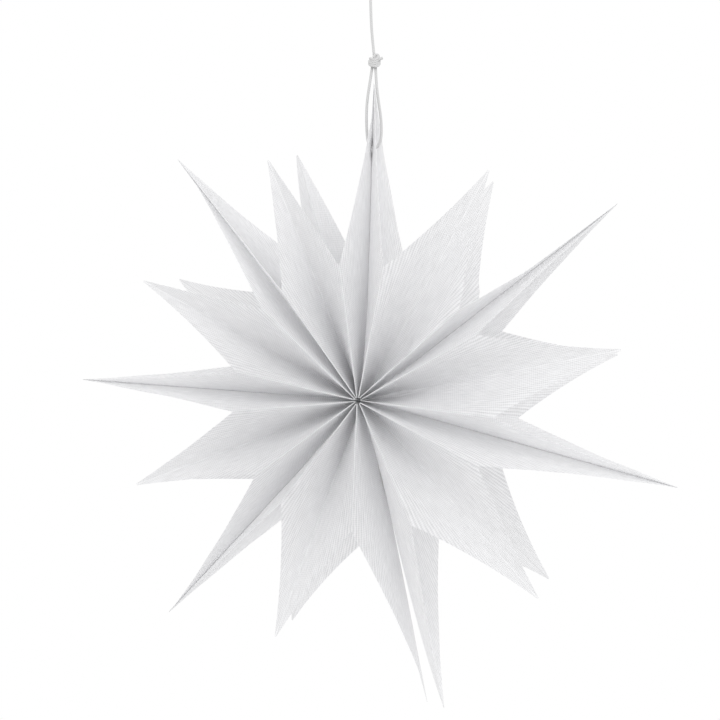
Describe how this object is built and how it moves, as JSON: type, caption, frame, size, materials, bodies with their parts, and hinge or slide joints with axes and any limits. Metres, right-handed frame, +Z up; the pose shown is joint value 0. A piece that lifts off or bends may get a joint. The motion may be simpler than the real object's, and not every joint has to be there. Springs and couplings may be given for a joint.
{
  "type": "folded paper star",
  "caption": "Hanging star folded from gusseted paper bags that are glued side by side, cut to points, fanned into a full ring and hung on a looped cord.",
  "frame": {"origin": "where the eye of the hanging cord rests on its hook: the inside top of the eye", "axes": "+Z up along the hanging cord, -Y towards the viewer of the star's front, +X to the right seen from the front; the star lies in the XZ plane with its depth along Y"},
  "size_m": [0.4474, 0.1286, 0.5443],
  "materials": {
    "paper": "matt white paper with a fine linen emboss",
    "tape": "clear double-sided adhesive",
    "cord": "white round waxed cotton"
  },
  "bodies": {
    "root": {"bag_1_lower_right": "paper", "bag_2_right": "paper", "bag_3_upper_right": "paper", "bag_4_upper_left": "paper", "bag_5_left": "paper", "bag_6_lower_left": "paper", "bag_7_bottom": "paper", "closing_tape": "tape", "cord_eye": "cord", "cord_eye_knot": "cord", "hanging_cord": "cord", "cord_knot": "cord", "cord_loop": "cord"}
  },
  "joints": []
}
